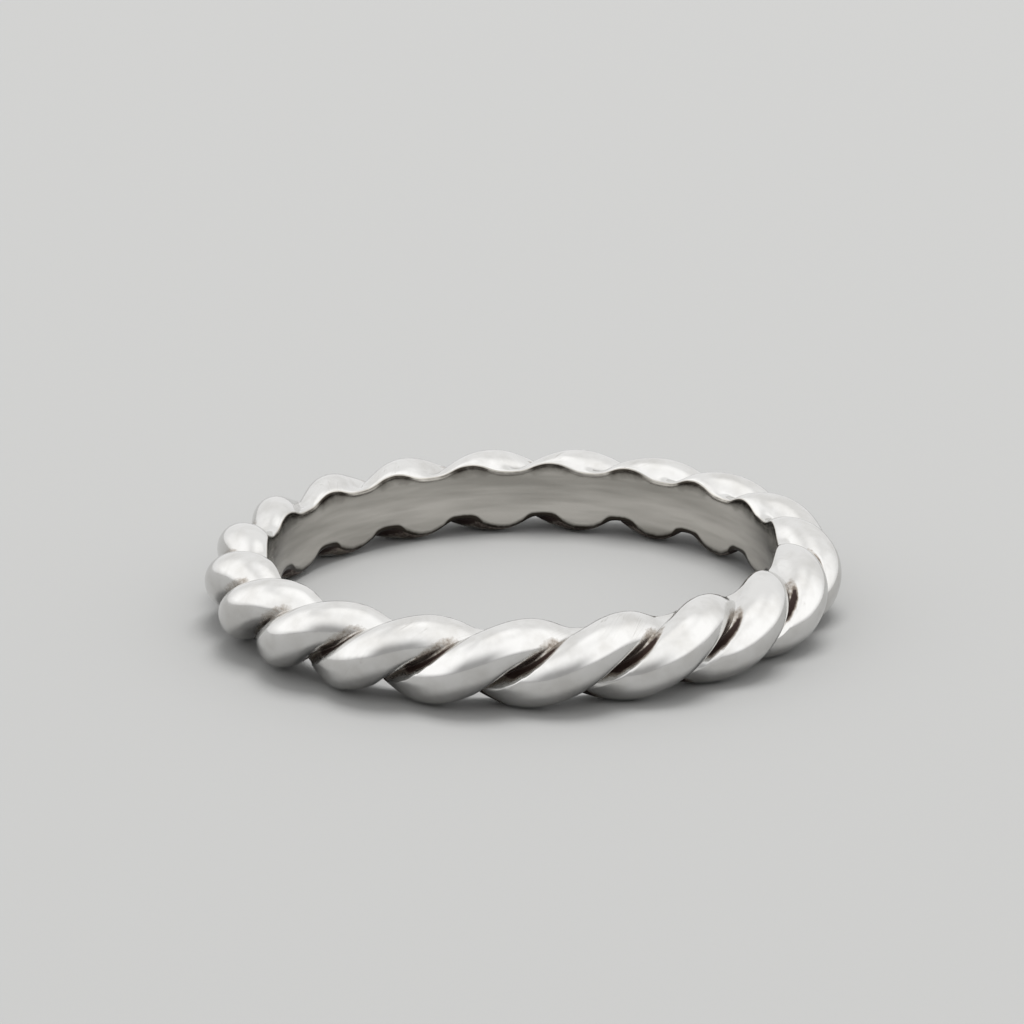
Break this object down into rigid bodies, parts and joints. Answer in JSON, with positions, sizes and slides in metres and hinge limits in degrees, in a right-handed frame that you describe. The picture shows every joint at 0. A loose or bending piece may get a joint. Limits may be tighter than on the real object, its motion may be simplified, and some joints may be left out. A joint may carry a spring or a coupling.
{
  "type": "rope twist finger ring",
  "caption": "Slim finger ring made as a closed two-strand rope twist with darkened grooves and a smooth round bore, lying flat.",
  "frame": {"origin": "centre of the finger bore, midway between the ring's two faces", "axes": "+Z along the bore axis, up as the ring lies on its side; -Y towards the side that the picture shows in front"},
  "size_m": [0.0216, 0.0215, 0.0028],
  "materials": {
    "rope_silver": "hand-polished silver, bright on the lobes, softly brushed in the bore, with dark brown patina left in the grooves"
  },
  "bodies": {
    "root": {"rope_band": "rope_silver"}
  },
  "joints": []
}
